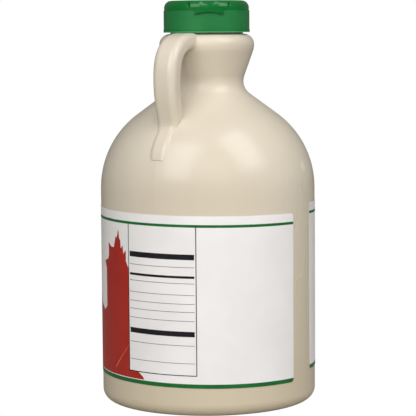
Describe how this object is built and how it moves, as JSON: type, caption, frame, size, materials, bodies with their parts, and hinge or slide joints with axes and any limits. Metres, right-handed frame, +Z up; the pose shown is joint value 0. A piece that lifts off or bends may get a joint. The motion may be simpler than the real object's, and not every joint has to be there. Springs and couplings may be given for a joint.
{
  "type": "syrup jug",
  "caption": "Round plastic syrup jug with a domed shoulder, a loop handle at the neck, a wrap-round label and a flip-top screw cap.",
  "frame": {"origin": "centre of the base, on the surface the jug stands on", "axes": "+Z up along the jug's axis, the front panel of the label faces -Y, the handle is on the +X side"},
  "size_m": [0.1026, 0.1023, 0.1901],
  "materials": {
    "jug": "satin",
    "label": "satin",
    "cap": "gloss"
  },
  "bodies": {
    "root": {"jug": "jug", "label": "label", "cap_skirt": "cap", "cap_lid": "cap"}
  },
  "joints": []
}
